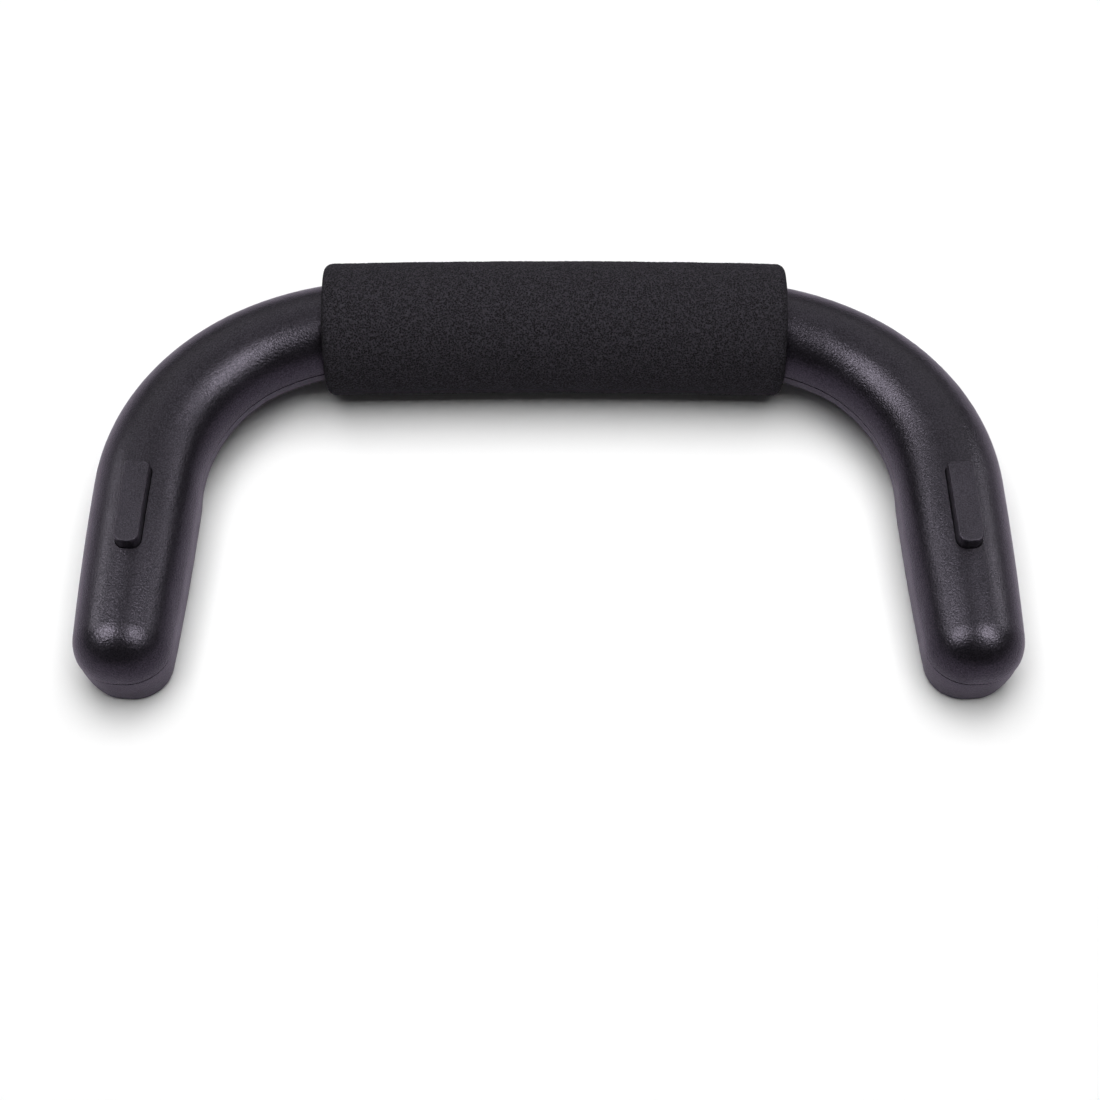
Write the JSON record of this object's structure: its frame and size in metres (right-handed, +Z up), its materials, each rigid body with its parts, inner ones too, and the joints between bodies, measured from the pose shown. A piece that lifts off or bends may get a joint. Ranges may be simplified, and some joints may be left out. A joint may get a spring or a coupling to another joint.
{
  "type": "u-shaped padded assist handle",
  "caption": "U-shaped hand grip in black grained plastic with a foam sleeve, domed legs, sprung release buttons on top and post sockets underneath.",
  "frame": {"origin": "bottom centre of the whole handle's box; z = 0 is the surface it rests on, touched by the foam sleeve and by the front ends of both foot pads", "axes": "+X along the grip to the handle's right as seen from the leg ends, +Y from the leg ends to the grip, +Z up away from the rest plane. The handle's own plane leans 2.19 degrees down towards the leg ends, because the sleeve is fatter than the legs"},
  "size_m": [0.2604, 0.1346, 0.0388],
  "materials": {
    "shell": "satin, fine moulded grain",
    "shell_lower": "satin, fine moulded grain",
    "button": "fine grained, satin",
    "foam": "matte open-cell foam",
    "core_steel": "bright zinc plated",
    "latch_steel": "stamped, zinc plated",
    "bush_steel": "turned, plated",
    "spring_steel": "drawn wire",
    "screw_steel": "zinc plated",
    "guide_plastic": "natural acetal",
    "pad_rubber": "matte moulded rubber"
  },
  "bodies": {
    "handle": {"upper_shell": "shell", "lower_shell": "shell_lower", "core_tube": "core_steel", "foam_grip": "foam", "left_button_spring": "spring_steel", "right_button_spring": "spring_steel", "left_latch_guide": "guide_plastic", "right_latch_guide": "guide_plastic", "left_socket_bush": "bush_steel", "right_socket_bush": "bush_steel", "left_foot_pad": "pad_rubber", "right_foot_pad": "pad_rubber", "tube_screws": "screw_steel", "nose_screws": "screw_steel", "guide_screws": "screw_steel"},
    "left_button": {"left_button": "button"},
    "right_button": {"right_button": "button"},
    "left_latch": {"left_latch_plate": "latch_steel"},
    "right_latch": {"right_latch_plate": "latch_steel"}
  },
  "joints": [
    {"name": "left_button_press", "type": "slide", "parent": "handle", "child": "left_button", "axis": [0, 0.0383, -0.9993], "range_m": [0, 0.0025], "stiffness_N_per_m": 1200, "springref_m": -0.003, "deforming": ["left_button_spring"]},
    {"name": "left_latch_slide", "type": "slide", "parent": "handle", "child": "left_latch", "axis": [-0.0593, -0.9975, -0.0382], "range_m": [0, 0.0025]},
    {"name": "right_button_press", "type": "slide", "parent": "handle", "child": "right_button", "axis": [0, 0.0383, -0.9993], "range_m": [0, 0.0025], "stiffness_N_per_m": 1200, "springref_m": -0.003, "deforming": ["right_button_spring"]},
    {"name": "right_latch_slide", "type": "slide", "parent": "handle", "child": "right_latch", "axis": [0.0593, -0.9975, -0.0382], "range_m": [0, 0.0025]}
  ],
  "couplings": [
    {"joint": "left_latch_slide", "follows": "left_button_press", "ratio": 1},
    {"joint": "right_latch_slide", "follows": "right_button_press", "ratio": 1}
  ]
}
